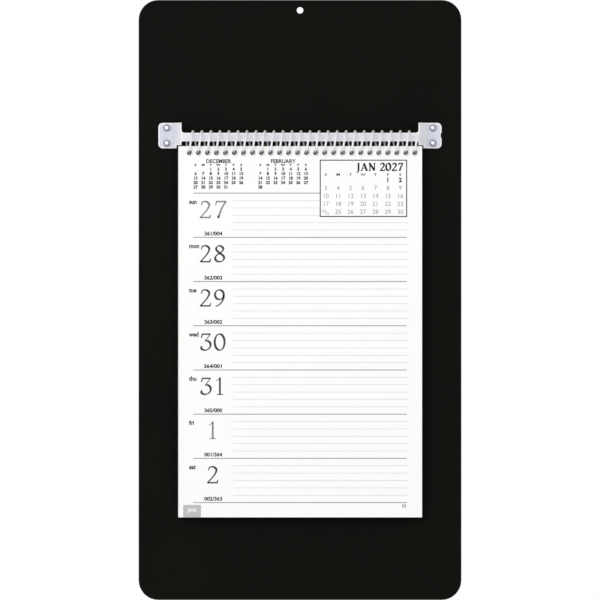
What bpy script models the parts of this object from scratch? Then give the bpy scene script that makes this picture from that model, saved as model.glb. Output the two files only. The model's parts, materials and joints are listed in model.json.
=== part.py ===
"""Weekly memo calendar: a coil-bound pad of week leaves that hangs on a strap riveted to a wall board.

Metres, +Z up, the front towards -Y. The origin is the centre of the hang hole, in the wall plane.
"""

import math

import bmesh
import bpy
import numpy as np
from mathutils import Matrix, Vector

# Week leaves and the pad that they make
PAGE_WIDTH = 0.1702
PAGE_HEIGHT = 0.2596
PAPER = 0.00008
LEAVES = 53
LOOSE_LEAVES = 5
BLOCK_NAMES = ("leaf_block_front", "leaf_block_middle", "leaf_block_back")
BACKING = 0.0005
LEAF_GAP = 0.0002

# Punched holes, one for each curl of the coil
HOLE_ACROSS = 0.0040
HOLE_SIDES = 8
PUNCH_MARGIN = 0.0048
FIRST_HOLE_MARGIN = 0.0079
LAST_HOLE_MARGIN = 0.0040

# Plastic coil
COIL_PITCH = 0.0062865
COIL_RADIUS = 0.0077
WIRE = 0.0013
POINTS_PER_CURL = 10
POINTS_PAST_END_HOLE = (4, 4)
TAIL_BEND = 0.0012
TAIL_BEND_STEPS = 3
TAIL_LENGTH = 0.0020
STRAND_SHARE = 0.56

# Strap: a narrow strip between two tabs, folded back to the board at both ends
STRAP_THICKNESS = 0.0008
STRIP_HEIGHT = 0.00595
STRIP_COIL_GAP = 0.0003
TAB_HEIGHT = 0.0178
TAB_ABOVE_STRIP = 0.0071
TAB_FLAT = 0.0094
TAB_SLOPE_RUN = 0.0072
TAB_CORNER = 0.0030
TAB_FILLET = 0.0022
TAB_FOOT_FILLET = 0.0008
TAB_OVER_PAGE = 0.0028
TAB_SIDE_CLEARANCE = 0.0008
TAB_PAGE_CLEARANCE = 0.0003
TAB_NOTCH_HEIGHT = 0.0038
TAB_NOTCH_DEPTH = 0.0006
FOLD_RADIUS = 0.0015

# Rivets through the tabs and the board
RIVET_FROM_EDGE = 0.0059
RIVET_SPACING = 0.01065
RIVET_HEAD = 0.0054
RIVET_RIM = 0.0004
RIVET_DOME = 0.0010
RIVET_SHANK = 0.0030
RIVET_TAIL = 0.0046
RIVET_TAIL_THICKNESS = 0.0007
RIVET_BORE = 0.0018
RIVET_BORE_DEPTH = 0.0020
RIVET_SIDES = 16

# Wall board: a core between two covering sheets
CORE = 0.0020
SHEET = 0.00025
GLUE_LINE = 0.0001
BOARD_CORNER = 0.0138
HANG_HOLE = 0.0045
HANG_HOLE_DROP = 0.0072
HANG_HOLE_SIDES = 16
HOLE_ROW_DROP = 0.0995
BOARD_SIDE_MARGIN = 0.0138
BOARD_FOOT_MARGIN = 0.0576

# Clearances
SEAT_GAP = 0.0002
BORE_CLEARANCE = 0.0003
COIL_BOARD_GAP = 0.0007

# Facets of rounded corners
BOARD_CORNER_STEPS = 8
SMALL_CORNER_STEPS = 4
FOLD_STEPS = 3
DOME_STEPS = 4

# Depths, from the wall towards the reader
CORE_BACK = -SHEET - GLUE_LINE
CORE_FRONT = CORE_BACK - CORE
BOARD_FACE = CORE_FRONT - GLUE_LINE - SHEET
TAB_BACK = BOARD_FACE - SEAT_GAP
TAB_FRONT = TAB_BACK - STRAP_THICKNESS
AXIS_Y = BOARD_FACE - COIL_BOARD_GAP - WIRE / 2 - COIL_RADIUS
STRAP_RISE = (TAB_FRONT + TAB_BACK) / 2 - AXIS_Y

# The stack, centred on the coil's axis
BLOCK_LEAVES = (LEAVES - LOOSE_LEAVES) / len(BLOCK_NAMES)
BLOCK = BLOCK_LEAVES * PAPER
STACK_PIECES = [PAPER] * LOOSE_LEAVES + [BLOCK] * len(BLOCK_NAMES) + [BACKING]
STACK = sum(STACK_PIECES) + LEAF_GAP * (len(STACK_PIECES) - 1)

# Heights, from the hang hole downwards
COIL_FLAT = COIL_RADIUS * math.cos(math.pi / POINTS_PER_CURL)
STRAND_AT_STACK_FACE = math.sqrt(COIL_FLAT**2 - (STACK / 2) ** 2)
HOLE_BELOW_AXIS = (COIL_RADIUS + STRAND_AT_STACK_FACE) / 2
AXIS_Z = -HOLE_ROW_DROP + HOLE_BELOW_AXIS
PAGE_TOP = -HOLE_ROW_DROP + PUNCH_MARGIN
PAGE_BOTTOM = PAGE_TOP - PAGE_HEIGHT
HALF_FACET = math.pi / POINTS_PER_CURL
COIL_INSIDE_TOP = COIL_RADIUS - WIRE / 2 / math.cos(HALF_FACET) - math.tan(HALF_FACET) * STRAP_THICKNESS / 2
STRIP_TOP = AXIS_Z + COIL_INSIDE_TOP - STRIP_COIL_GAP
STRIP_BOTTOM = STRIP_TOP - STRIP_HEIGHT
TAB_TOP = STRIP_TOP + TAB_ABOVE_STRIP
TAB_BOTTOM = TAB_TOP - TAB_HEIGHT
TAB_MIDDLE = (TAB_TOP + TAB_BOTTOM) / 2
TAB_CUTOUT_TOP = PAGE_TOP + TAB_PAGE_CLEARANCE
BOARD_TOP = HANG_HOLE_DROP
BOARD_BOTTOM = PAGE_BOTTOM - BOARD_FOOT_MARGIN
PAD_HINGE_Z = STRIP_TOP - STRAP_THICKNESS / 2

# Places across the width
HOLES = int((PAGE_WIDTH - FIRST_HOLE_MARGIN - LAST_HOLE_MARGIN) / COIL_PITCH) + 1
FIRST_HOLE = -PAGE_WIDTH / 2 + FIRST_HOLE_MARGIN
STRAND_OFFSET = -STRAND_SHARE * (HOLE_ACROSS - WIRE) / 2


def coil_advance(angle):
    """How far the coil runs along X over an angle, in radians."""
    return COIL_PITCH * angle / math.tau


STACK_LEAN = coil_advance(math.asin(STACK / 2 / COIL_RADIUS))
TAB_INNER = PAGE_WIDTH / 2 - TAB_OVER_PAGE
TAB_CUTOUT_X = PAGE_WIDTH / 2 + STACK_LEAN + TAB_SIDE_CLEARANCE
TAB_OUTER = TAB_INNER + TAB_SLOPE_RUN + TAB_FLAT
RIVET_X = TAB_OUTER - RIVET_FROM_EDGE
RIVET_PLACES = {
    "rivet_upper_left": (-RIVET_X, TAB_MIDDLE + RIVET_SPACING / 2),
    "rivet_lower_left": (-RIVET_X, TAB_MIDDLE - RIVET_SPACING / 2),
    "rivet_upper_right": (RIVET_X, TAB_MIDDLE + RIVET_SPACING / 2),
    "rivet_lower_right": (RIVET_X, TAB_MIDDLE - RIVET_SPACING / 2),
}
BOARD_HALF_WIDTH = TAB_OUTER + BOARD_SIDE_MARGIN

# Rivet lengths, from under the head to the seat of the tail
HEAD_SEAT = TAB_FRONT - SEAT_GAP
TAIL_END = -GLUE_LINE
TAIL_SEAT = TAIL_END - RIVET_TAIL_THICKNESS
GRIP = TAIL_SEAT - HEAD_SEAT


def finish(name, colour, roughness, metallic=0.0, alpha=1.0):
    """A plain material."""
    material = bpy.data.materials.new(name)
    material.use_nodes = True
    shader = material.node_tree.nodes["Principled BSDF"]
    shader.inputs["Base Color"].default_value = (*colour, 1.0)
    shader.inputs["Roughness"].default_value = roughness
    shader.inputs["Metallic"].default_value = metallic
    shader.inputs["Alpha"].default_value = alpha
    return material


def world_place(pivot):
    """Where a pivot is, with its parents counted in, or the origin where there is none."""
    place = Vector()
    while pivot:
        place += pivot.location
        pivot = pivot.parent
    return place


def placed(name, data, location, parent=None):
    """An object placed in world coordinates, carried by a pivot where it moves."""
    shape = bpy.data.objects.new(name, data)
    shape.location = Vector(location) - world_place(parent)
    shape.parent = parent
    bpy.context.collection.objects.link(shape)
    return shape


def piece(name, data, material, location, parent=None):
    """A sub-part with its material."""
    data.materials.append(material)
    return placed(name, data, location, parent)


def rounded(corners, steps):
    """An outline from corners (x, z, radius), each rounded by an arc that touches both of its sides."""
    points = []
    for i, (x, z, radius) in enumerate(corners):
        corner = Vector((x, z))
        if not radius:
            points.append(corner)
            continue
        before = (Vector(corners[i - 1][:2]) - corner).normalized()
        after = (Vector(corners[(i + 1) % len(corners)][:2]) - corner).normalized()
        half = before.angle(after) / 2
        centre = corner + (before + after).normalized() * radius / math.sin(half)
        start = corner + before * radius / math.tan(half) - centre
        end = corner + after * radius / math.tan(half) - centre
        turn = start.angle_signed(end)
        for step in range(steps + 1):
            points.append(centre + Matrix.Rotation(-turn * step / steps, 2) @ start)
    return points


def ring(x, z, across, sides):
    """A regular polygon with flats at its sides, given by its size across flats."""
    radius = across / 2 / math.cos(math.pi / sides)
    angles = [math.tau * (i + 0.5) / sides for i in range(sides)]
    return [Vector((x + radius * math.cos(a), z + radius * math.sin(a))) for a in angles]


def flat_sheet(outline, holes, thickness):
    """A mesh with its front face at y = 0 and its back face at y = thickness."""
    shape = bmesh.new()
    edges = []
    for loop in (outline, *holes):
        corners = [shape.verts.new((x, 0, z)) for x, z in loop]
        edges += [shape.edges.new(pair) for pair in zip(corners, corners[1:] + corners[:1])]
    filled = bmesh.ops.triangle_fill(shape, use_beauty=True, edges=edges, normal=(0, -1, 0))
    faces = [item for item in filled["geom"] if isinstance(item, bmesh.types.BMFace)]
    grown = bmesh.ops.extrude_face_region(shape, geom=faces)
    back = [item for item in grown["geom"] if isinstance(item, bmesh.types.BMVert)]
    bmesh.ops.translate(shape, verts=back, vec=(0, thickness, 0))
    bmesh.ops.recalc_face_normals(shape, faces=shape.faces)
    return shape


def stored(shape, name):
    """A mesh from a finished shape."""
    mesh = bpy.data.meshes.new(name)
    shape.to_mesh(mesh)
    shape.free()
    return mesh


def turned(profile, sides):
    """A solid turned about Y, from a profile of (radius, y) that starts and ends on the axis."""
    shape = bmesh.new()
    loops = []
    for radius, y in profile:
        count = sides if radius else 1
        angles = [math.tau * (i + 0.5) / sides for i in range(count)]
        loops.append([shape.verts.new((radius * math.cos(a), y, radius * math.sin(a))) for a in angles])
    for near, far in zip(loops, loops[1:]):
        for i in range(sides):
            j = (i + 1) % sides
            corners = [near[i % len(near)], near[j % len(near)], far[j % len(far)], far[i % len(far)]]
            shape.faces.new(list(dict.fromkeys(corners)))
    bmesh.ops.recalc_face_normals(shape, faces=shape.faces)
    return shape


def smooth(mesh, sharp_degrees=35):
    """Round faces shaded smooth, with their edges kept sharp."""
    mesh.shade_smooth()
    mesh.set_sharp_from_angle(angle=math.radians(sharp_degrees))


def board_outline():
    """The rounded rectangle of the wall board."""
    return rounded(
        [
            (-BOARD_HALF_WIDTH, BOARD_BOTTOM, BOARD_CORNER),
            (BOARD_HALF_WIDTH, BOARD_BOTTOM, BOARD_CORNER),
            (BOARD_HALF_WIDTH, BOARD_TOP, BOARD_CORNER),
            (-BOARD_HALF_WIDTH, BOARD_TOP, BOARD_CORNER),
        ],
        BOARD_CORNER_STEPS,
    )


def rivet_holes(diameter):
    """The four holes of a sheet that the rivets pass through."""
    return [ring(x, z, diameter + 2 * BORE_CLEARANCE, RIVET_SIDES) for x, z in RIVET_PLACES.values()]


def rivet_recess_cutter():
    """Stepped bores for the shanks and their clinched tails, as one hidden cutting tool."""
    shank = RIVET_SHANK / 2 + BORE_CLEARANCE
    tail = RIVET_TAIL / 2 + BORE_CLEARANCE
    floor = TAIL_SEAT - SEAT_GAP
    steps = [(shank, BOARD_FACE), (shank, floor), (tail, floor), (tail, SEAT_GAP)]
    profile = [(0, BOARD_FACE), *steps, (0, SEAT_GAP)]
    cutter = bmesh.new()
    for x, z in RIVET_PLACES.values():
        bore = stored(turned(profile, RIVET_SIDES), "bore")
        bore.transform(Matrix.Translation((x, 0, z)))
        cutter.from_mesh(bore)
        bpy.data.meshes.remove(bore)
    return stored(cutter, "rivet_recess_cutter")


def make_board():
    """The core and its two covering sheets, pierced for the hang hole and the rivets."""
    board = finish("board_grey", (0.022, 0.022, 0.020), 0.9)
    cover = finish("board_black", (0.0075, 0.008, 0.0056), 0.75)
    hang = ring(0, 0, HANG_HOLE, HANG_HOLE_SIDES)

    front = flat_sheet(board_outline(), [hang, *rivet_holes(RIVET_SHANK)], SHEET)
    piece("backboard_front_sheet", stored(front, "front_sheet"), cover, (0, BOARD_FACE, 0))
    back = flat_sheet(board_outline(), [hang, *rivet_holes(RIVET_TAIL)], SHEET)
    piece("backboard_back_sheet", stored(back, "back_sheet"), cover, (0, -SHEET, 0))

    middle = flat_sheet(board_outline(), [hang], CORE)
    core = piece("backboard_core", stored(middle, "core"), board, (0, CORE_FRONT, 0))
    cutter = piece("rivet_recess_cutter", rivet_recess_cutter(), board, (0, 0, 0))
    cutter.hide_render = True
    cutter.display_type = "WIRE"
    bores = core.modifiers.new("rivet_bores", "BOOLEAN")
    bores.operation = "DIFFERENCE"
    bores.object = cutter


def strap_path():
    """The strap's middle line as (x, y), from the left tab to the right one."""
    right = [
        (0, 0, 0),
        (TAB_INNER, 0, FOLD_RADIUS),
        (TAB_INNER + TAB_SLOPE_RUN, STRAP_RISE, FOLD_RADIUS),
        (TAB_OUTER, STRAP_RISE, 0),
    ]
    half = rounded(right, FOLD_STEPS)
    return [Vector((-x, y)) for x, y in reversed(half[1:])] + half


def path_lengths(path):
    """The distance along a path at each of its points, counted from its middle."""
    runs = [0.0]
    for start, end in zip(path, path[1:]):
        runs.append(runs[-1] + (end - start).length)
    return [run - runs[-1] / 2 for run in runs]


def path_normals(path):
    """At each point, the mitred step to a line that runs beside the path at unit distance."""
    sides = [Vector((-(b - a).y, (b - a).x)).normalized() for a, b in zip(path, path[1:])]
    pairs = zip([sides[0], *sides], [*sides, sides[-1]])
    return [(a + b) / (1 + a.dot(b)) for a, b in pairs]


def strap_outline(tab_start, cutout, tab_end):
    """The strap laid flat: a strip that widens to a tab at both ends, cut out over the page's corners."""
    below = [
        (tab_start, STRIP_BOTTOM, TAB_FOOT_FILLET),
        (tab_start, TAB_CUTOUT_TOP, 0),
        (cutout, TAB_CUTOUT_TOP, 0),
        (cutout, TAB_BOTTOM, 0),
        (tab_end, TAB_BOTTOM, TAB_CORNER),
    ]
    above = [
        (tab_end, TAB_TOP, TAB_CORNER),
        (tab_start, TAB_TOP, 0),
        (tab_start, STRIP_TOP, TAB_FILLET),
    ]
    half_notch = TAB_NOTCH_HEIGHT / 2
    notch = [
        (tab_end, TAB_MIDDLE - half_notch, 0),
        (tab_end - TAB_NOTCH_DEPTH, TAB_MIDDLE - half_notch + TAB_NOTCH_DEPTH, 0),
        (tab_end - TAB_NOTCH_DEPTH, TAB_MIDDLE + half_notch - TAB_NOTCH_DEPTH, 0),
        (tab_end, TAB_MIDDLE + half_notch, 0),
    ]
    left = [(-x, z, radius) for x, z, radius in reversed(below + above)]
    return rounded(below + notch + above + left, SMALL_CORNER_STEPS)


def make_strap():
    """The strap, cut flat with its rivet holes and then folded along its path."""
    path = strap_path()
    lengths = path_lengths(path)
    normals = path_normals(path)
    tab_end = lengths[-1]
    slope = math.hypot(TAB_SLOPE_RUN, STRAP_RISE)
    tab_start = tab_end - TAB_FLAT - slope
    cutout = tab_start + slope * (TAB_CUTOUT_X - TAB_INNER) / TAB_SLOPE_RUN
    flat_x = tab_end - RIVET_FROM_EDGE
    places = [(math.copysign(flat_x, x), z) for x, z in RIVET_PLACES.values()]
    holes = [ring(x, z, RIVET_SHANK + 2 * BORE_CLEARANCE, RIVET_SIDES) for x, z in places]
    shape = flat_sheet(strap_outline(tab_start, cutout, tab_end), holes, STRAP_THICKNESS)
    for length in lengths[1:-1]:
        everything = [*shape.verts, *shape.edges, *shape.faces]
        bmesh.ops.bisect_plane(shape, geom=everything, plane_co=(length, 0, 0), plane_no=(1, 0, 0))
    for corner in shape.verts:
        run = corner.co.x
        offset = corner.co.y - STRAP_THICKNESS / 2
        i = int(np.clip(np.searchsorted(lengths, run) - 1, 0, len(path) - 2))
        start = path[i] + normals[i] * offset
        end = path[i + 1] + normals[i + 1] * offset
        x, y = start.lerp(end, (run - lengths[i]) / (lengths[i + 1] - lengths[i]))
        corner.co = (x, y, corner.co.z)
    bmesh.ops.recalc_face_normals(shape, faces=shape.faces)
    milky = finish("milky_plastic", (0.78, 0.79, 0.83), 0.35, alpha=0.9)
    piece("hanger_strap", stored(shape, "strap"), milky, (0, AXIS_Y, 0))


def make_rivets():
    """Four semi-tubular rivets: a domed head, a shank and a clinched tail let into the back."""
    head = RIVET_HEAD / 2
    shank = RIVET_SHANK / 2
    tail = RIVET_TAIL / 2
    bore = RIVET_BORE / 2
    end = GRIP + RIVET_TAIL_THICKNESS
    turns = [math.pi / 2 * i / DOME_STEPS for i in range(DOME_STEPS + 1)]
    profile = [(head * math.sin(a), -RIVET_RIM - RIVET_DOME * math.cos(a)) for a in turns]
    profile += [
        (head, 0),
        (shank, 0),
        (shank, GRIP),
        (tail, GRIP),
        (tail, end - RIVET_TAIL_THICKNESS / 2),
        ((tail + bore) / 2, end),
        (bore, end),
        (bore, end - RIVET_BORE_DEPTH),
        (0, end - RIVET_BORE_DEPTH),
    ]
    nickel = finish("nickel", (0.62, 0.63, 0.66), 0.3, 1.0)
    for name, (x, z) in RIVET_PLACES.items():
        mesh = stored(turned(profile, RIVET_SIDES), name)
        smooth(mesh)
        piece(name, mesh, nickel, (x, HEAD_SEAT, z))


def coil_point(curls):
    """A point of the coil's middle line, from its axis, counted in curls from the first hole."""
    angle = math.tau * curls
    x = FIRST_HOLE + STRAND_OFFSET + coil_advance(angle)
    return Vector((x, -COIL_RADIUS * math.sin(angle), -COIL_RADIUS * math.cos(angle)))


def coil_tail(end, along, inward):
    """The crimped end of the coil, bent to lie along the pad so that the coil can't unscrew."""
    turns = [math.pi / 2 * (i + 1) / TAIL_BEND_STEPS for i in range(TAIL_BEND_STEPS)]
    bend = [end + TAIL_BEND * (math.sin(a) * along + (1 - math.cos(a)) * inward) for a in turns]
    return [*bend, bend[-1] + TAIL_LENGTH * inward]


def coil_line():
    """Every point of the coil's middle line, with a crimped tail at both ends."""
    before, after = POINTS_PAST_END_HOLE
    last = (HOLES - 1) * POINTS_PER_CURL + after
    body = [coil_point(i / POINTS_PER_CURL) for i in range(-before, last + 1)]
    inward = Vector((1, 0, 0))
    first_tail = coil_tail(body[0], (body[0] - body[1]).normalized(), inward)
    last_tail = coil_tail(body[-1], (body[-1] - body[-2]).normalized(), -inward)
    return [*reversed(first_tail), *body, *last_tail]


def least_self_gap(line, samples=5):
    """The least clear distance between stretches of wire that are half a curl or more apart along it."""
    steps = np.arange(samples) / samples
    pairs = zip(line, line[1:])
    points = np.array([a.lerp(b, step) for a, b in pairs for step in steps])
    runs = np.r_[0, np.cumsum(np.linalg.norm(np.diff(points, axis=0), axis=1))]
    apart = np.abs(runs[:, None] - runs) > math.pi * COIL_RADIUS
    distances = np.linalg.norm(points[:, None] - points, axis=2)
    return distances[apart].min() - WIRE


def make_coil(axis):
    """The clear plastic coil, one unbroken wire."""
    line = coil_line()
    print(f"least gap of the coil to itself: {least_self_gap(line) * 1000:.2f} mm")
    curve = bpy.data.curves.new("coil", "CURVE")
    curve.dimensions = "3D"
    curve.bevel_depth = WIRE / 2
    curve.bevel_resolution = 1
    curve.use_fill_caps = True
    spline = curve.splines.new("POLY")
    spline.points.add(len(line) - 1)
    for point, place in zip(spline.points, line):
        point.co = (*place, 1)
    clear = finish("clear_plastic", (0.80, 0.83, 0.84), 0.12, alpha=0.6)
    piece("binding_coil", curve, clear, (0, AXIS_Y, AXIS_Z), axis)


def page_mesh(name, thickness):
    """A punched sheet of page size, placed from the coil's axis."""
    top = PAGE_TOP - AXIS_Z
    bottom = PAGE_BOTTOM - AXIS_Z
    half = PAGE_WIDTH / 2
    outline = [Vector(corner) for corner in ((-half, bottom), (half, bottom), (half, top), (-half, top))]
    places = [FIRST_HOLE + i * COIL_PITCH for i in range(HOLES)]
    holes = [ring(x, -HOLE_BELOW_AXIS, HOLE_ACROSS, HOLE_SIDES) for x in places]
    return stored(flat_sheet(outline, holes, thickness), name)


def make_pad(pad_hinge, leaf_hinge):
    """The stack from front to back: loose week leaves, blocks of the later weeks and a stiff backing."""
    paper = finish("paper", (0.93, 0.93, 0.93), 0.85)
    block = finish("paper_block", (0.90, 0.90, 0.89), 0.9)
    chipboard = finish("chipboard", (0.42, 0.38, 0.33), 0.95)
    loose = [(f"week_leaf_{i + 1}", PAPER, paper, leaf_hinge) for i in range(LOOSE_LEAVES)]
    blocks = [(name, BLOCK, block, pad_hinge) for name in BLOCK_NAMES]
    depth = -STACK / 2
    for name, thickness, material, hinge in [*loose, *blocks, ("pad_backing", BACKING, chipboard, pad_hinge)]:
        middle = depth + thickness / 2
        lean = coil_advance(math.asin(-middle / COIL_RADIUS))
        mesh = page_mesh(name, thickness)
        piece(name, mesh, material, (lean, AXIS_Y + depth, AXIS_Z), hinge)
        depth += thickness + LEAF_GAP


def main():
    """Build the whole calendar in an empty scene."""
    for old in list(bpy.data.objects):
        bpy.data.objects.remove(old)
    pad_hinge = placed("pad_hinge", None, (0, AXIS_Y, PAD_HINGE_Z))
    leaf_hinge = placed("leaf_hinge", None, (0, AXIS_Y, AXIS_Z), pad_hinge)
    make_board()
    make_strap()
    make_rivets()
    make_coil(pad_hinge)
    make_pad(pad_hinge, leaf_hinge)


main()
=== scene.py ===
"""Looks of the weekly memo calendar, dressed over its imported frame.

Lengths are in metres. X points right and Z up. The wall is the plane Y = 0, and the front looks towards -Y.
"""

import json
import logging
import math
import random
from dataclasses import dataclass, field
from datetime import date, timedelta
from enum import Enum
from itertools import product
from typing import Union

import bpy
from mathutils import Matrix, Vector


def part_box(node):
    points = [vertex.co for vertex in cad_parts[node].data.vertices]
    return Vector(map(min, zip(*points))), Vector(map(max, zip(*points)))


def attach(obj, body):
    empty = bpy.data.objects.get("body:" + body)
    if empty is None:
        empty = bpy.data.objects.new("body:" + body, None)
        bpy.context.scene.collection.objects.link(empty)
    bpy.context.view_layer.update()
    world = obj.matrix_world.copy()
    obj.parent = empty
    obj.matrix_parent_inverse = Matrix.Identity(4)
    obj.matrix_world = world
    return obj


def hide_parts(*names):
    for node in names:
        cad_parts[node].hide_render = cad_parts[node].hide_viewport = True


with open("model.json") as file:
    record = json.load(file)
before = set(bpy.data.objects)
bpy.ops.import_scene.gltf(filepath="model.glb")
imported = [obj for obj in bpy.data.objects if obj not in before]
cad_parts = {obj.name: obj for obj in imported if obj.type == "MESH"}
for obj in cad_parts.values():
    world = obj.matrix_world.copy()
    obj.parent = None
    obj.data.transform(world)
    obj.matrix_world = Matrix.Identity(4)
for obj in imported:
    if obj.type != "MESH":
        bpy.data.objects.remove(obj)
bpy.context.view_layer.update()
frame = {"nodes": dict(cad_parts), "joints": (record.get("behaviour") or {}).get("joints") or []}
log = logging.getLogger("calendar")

MM = 0.001
FACING_FRONT = (math.pi / 2, 0, 0)
LOOSE_LEAVES = 5
HOLE_PITCH = 6.2865 * MM
WEEK = 7
Colour = tuple[float, float, float]
Stretch = tuple[float, float, float]
Point = tuple[float, float]
Number = Union[float, "Shade"]
Paint = Union[Colour, bpy.types.NodeSocket]


def screen(red: int, green: int, blue: int) -> Colour:
    """Turns a screen colour, 0 to 255, into the linear colour that shaders use.

    Args:
        red: the red share.
        green: the green share.
        blue: the blue share.

    Returns:
        The linear colour.
    """
    shares = [part / 255 for part in (red, green, blue)]
    return tuple(s / 12.92 if s <= 0.04045 else ((s + 0.055) / 1.055) ** 2.4 for s in shares)


def ramp(value: float, low: float, high: float) -> float:
    """Gives 0 up to low and 1 from high on, evenly between them."""
    return min(max((value - low) / (high - low), 0), 1)


class Shade:
    """A shader value, on which plain arithmetic adds Math nodes."""

    def __init__(self, graph: "Graph", socket: bpy.types.NodeSocket) -> None:
        """Wraps an output socket of a graph."""
        self.graph = graph
        self.socket = socket

    def math(self, operation: str, first: Number, second: Number) -> "Shade":
        """Adds one Math node on two values.

        Args:
            operation: the node's operation.
            first: the first value.
            second: the second value.

        Returns:
            The node's result.
        """
        return self.graph.value("ShaderNodeMath", {"operation": operation}, {0: first, 1: second})

    def __add__(self, other: Number) -> "Shade":
        """Adds a value."""
        return self.math("ADD", self, other)

    def __radd__(self, other: Number) -> "Shade":
        """Adds to a value."""
        return self.math("ADD", other, self)

    def __sub__(self, other: Number) -> "Shade":
        """Takes a value away."""
        return self.math("SUBTRACT", self, other)

    def __rsub__(self, other: Number) -> "Shade":
        """Is taken away from a value."""
        return self.math("SUBTRACT", other, self)

    def __mul__(self, other: Number) -> "Shade":
        """Multiplies by a value."""
        return self.math("MULTIPLY", self, other)

    def __rmul__(self, other: Number) -> "Shade":
        """Multiplies a value."""
        return self.math("MULTIPLY", other, self)

    def largest(self, other: Number) -> "Shade":
        """Gives the larger of two values."""
        return self.math("MAXIMUM", self, other)


class Graph:
    """The node tree of one material or of the world."""

    def __init__(self, owner: bpy.types.Material | bpy.types.World) -> None:
        """Starts an empty tree on its owner."""
        owner.use_nodes = True
        self.tree = owner.node_tree
        self.tree.nodes.clear()

    def node(self, kind: str, settings: dict | None = None, inputs: dict | None = None) -> bpy.types.Node:
        """Adds a node of any kind.

        Args:
            kind: the node's type.
            settings: what is set on the node first.
            inputs: the value or link of each socket, by name or place.

        Returns:
            The new node.
        """
        node = self.tree.nodes.new(kind)
        for name, setting in (settings or {}).items():
            setattr(node, name, setting)
        for key, entry in (inputs or {}).items():
            socket = node.inputs[key]
            link = entry.socket if isinstance(entry, Shade) else entry
            if isinstance(link, bpy.types.NodeSocket):
                self.tree.links.new(link, socket)
            elif socket.type == "RGBA":
                socket.default_value = (*link, 1)
            else:
                socket.default_value = link
        return node

    def value(self, kind: str, settings: dict | None = None, inputs: dict | None = None,
              output: int | str = 0) -> Shade:
        """Adds a node and wraps one of its outputs.

        Args:
            kind: the node's type.
            settings: what is set on the node first.
            inputs: the value or link of each socket.
            output: the output that is wanted.

        Returns:
            The wrapped output.
        """
        return Shade(self, self.node(kind, settings, inputs).outputs[output])

    def place(self, stretch: Stretch = (1, 1, 1)) -> bpy.types.NodeSocket:
        """Gives the object's own coordinates, multiplied along each axis by stretch."""
        spot = self.node("ShaderNodeTexCoord").outputs["Object"]
        return self.node("ShaderNodeMapping", None, {"Vector": spot, "Scale": stretch}).outputs[0]

    def noise(self, size: float, detail: float = 2, stretch: Stretch = (1, 1, 1)) -> Shade:
        """Adds soft noise.

        Args:
            size: how far apart its blotches are.
            detail: how many finer layers it has.
            stretch: how much denser it is along each axis.

        Returns:
            The noise, about 0.5 on average.
        """
        inputs = {"Vector": self.place(stretch), "Scale": 1 / size, "Detail": detail}
        return self.value("ShaderNodeTexNoise", None, inputs)

    def pebbles(self, size: float) -> Shade:
        """Adds a pattern of soft cells: the distance to the nearest cell's middle."""
        inputs = {"Vector": self.place(), "Scale": 1 / size}
        return self.value("ShaderNodeTexVoronoi", {"feature": "SMOOTH_F1"}, inputs, "Distance")

    def mark(self, name: str) -> Shade:
        """Reads how strongly a spot of the mesh is marked, from 0 to 1."""
        settings = {"attribute_type": "GEOMETRY", "attribute_name": name}
        return self.value("ShaderNodeAttribute", settings, None, "Fac")

    def step(self, value: Shade, low: float, high: float) -> Shade:
        """Maps a value to 0 below low and 1 above high, smoothly between them."""
        settings = {"interpolation_type": "SMOOTHSTEP"}
        return self.value("ShaderNodeMapRange", settings, {"Value": value, "From Min": low, "From Max": high})

    def mixed(self, share: Number, first: Paint, second: Paint) -> bpy.types.NodeSocket:
        """Mixes two colours by a share, through the Mix node's own sockets for colours."""
        return self.node("ShaderNodeMix", {"data_type": "RGBA"}, {0: share, 6: first, 7: second}).outputs[2]

    def bumped(self, height: Shade, depth: float) -> bpy.types.NodeSocket:
        """Gives the normal of a surface whose height varies from 0 to 1 times depth."""
        return self.node("ShaderNodeBump", None, {"Height": height, "Distance": depth}).outputs[0]

    def finish(self, inputs: dict) -> None:
        """Ends the tree in one shader with these inputs."""
        shader = self.node("ShaderNodeBsdfPrincipled", None, inputs)
        self.node("ShaderNodeOutputMaterial", None, {"Surface": shader.outputs[0]})


@dataclass(frozen=True)
class Finish:
    """A material of the object, with the record's slot that it belongs to."""

    slot: str
    colour: Colour
    roughness: float

    def paint(self, graph: Graph) -> None:
        """Fills the material's node tree."""
        raise NotImplementedError

    def material(self) -> bpy.types.Material:
        """Makes the material."""
        made = bpy.data.materials.new(f"{self.slot}_finish")
        self.paint(Graph(made))
        return made


@dataclass(frozen=True)
class CoverSheet(Finish):
    """Matt black covering sheet with a fine pressed leather grain."""

    slot: str = "board_cover"
    colour: Colour = screen(9, 10, 6)
    worn: Colour = screen(13, 14, 9)
    roughness: float = 0.6
    roughness_spread: float = 0.15
    cloud: float = 60 * MM
    cloud_range: Point = (0.4, 0.75)
    cloud_share: float = 0.5
    pebble: float = 0.9 * MM
    pebble_share: float = 0.2
    fine: float = 0.225 * MM
    fine_share: float = 0.2
    grain_depth: float = 0.05 * MM
    gloss: float = 0.05

    def paint(self, graph: Graph) -> None:
        """Fills the material's node tree."""
        pebble = graph.pebbles(self.pebble)
        fine = graph.noise(self.fine)
        cloud = graph.step(graph.noise(self.cloud, detail=4), *self.cloud_range)
        wear = cloud * self.cloud_share + pebble * self.pebble_share
        graph.finish({
            "Base Color": graph.mixed(wear, self.colour, self.worn),
            "Roughness": self.roughness + (fine - 0.5) * self.roughness_spread,
            "Specular IOR Level": self.gloss,
            "Normal": graph.bumped(pebble * (1 - self.fine_share) + fine * self.fine_share, self.grain_depth),
        })


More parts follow.
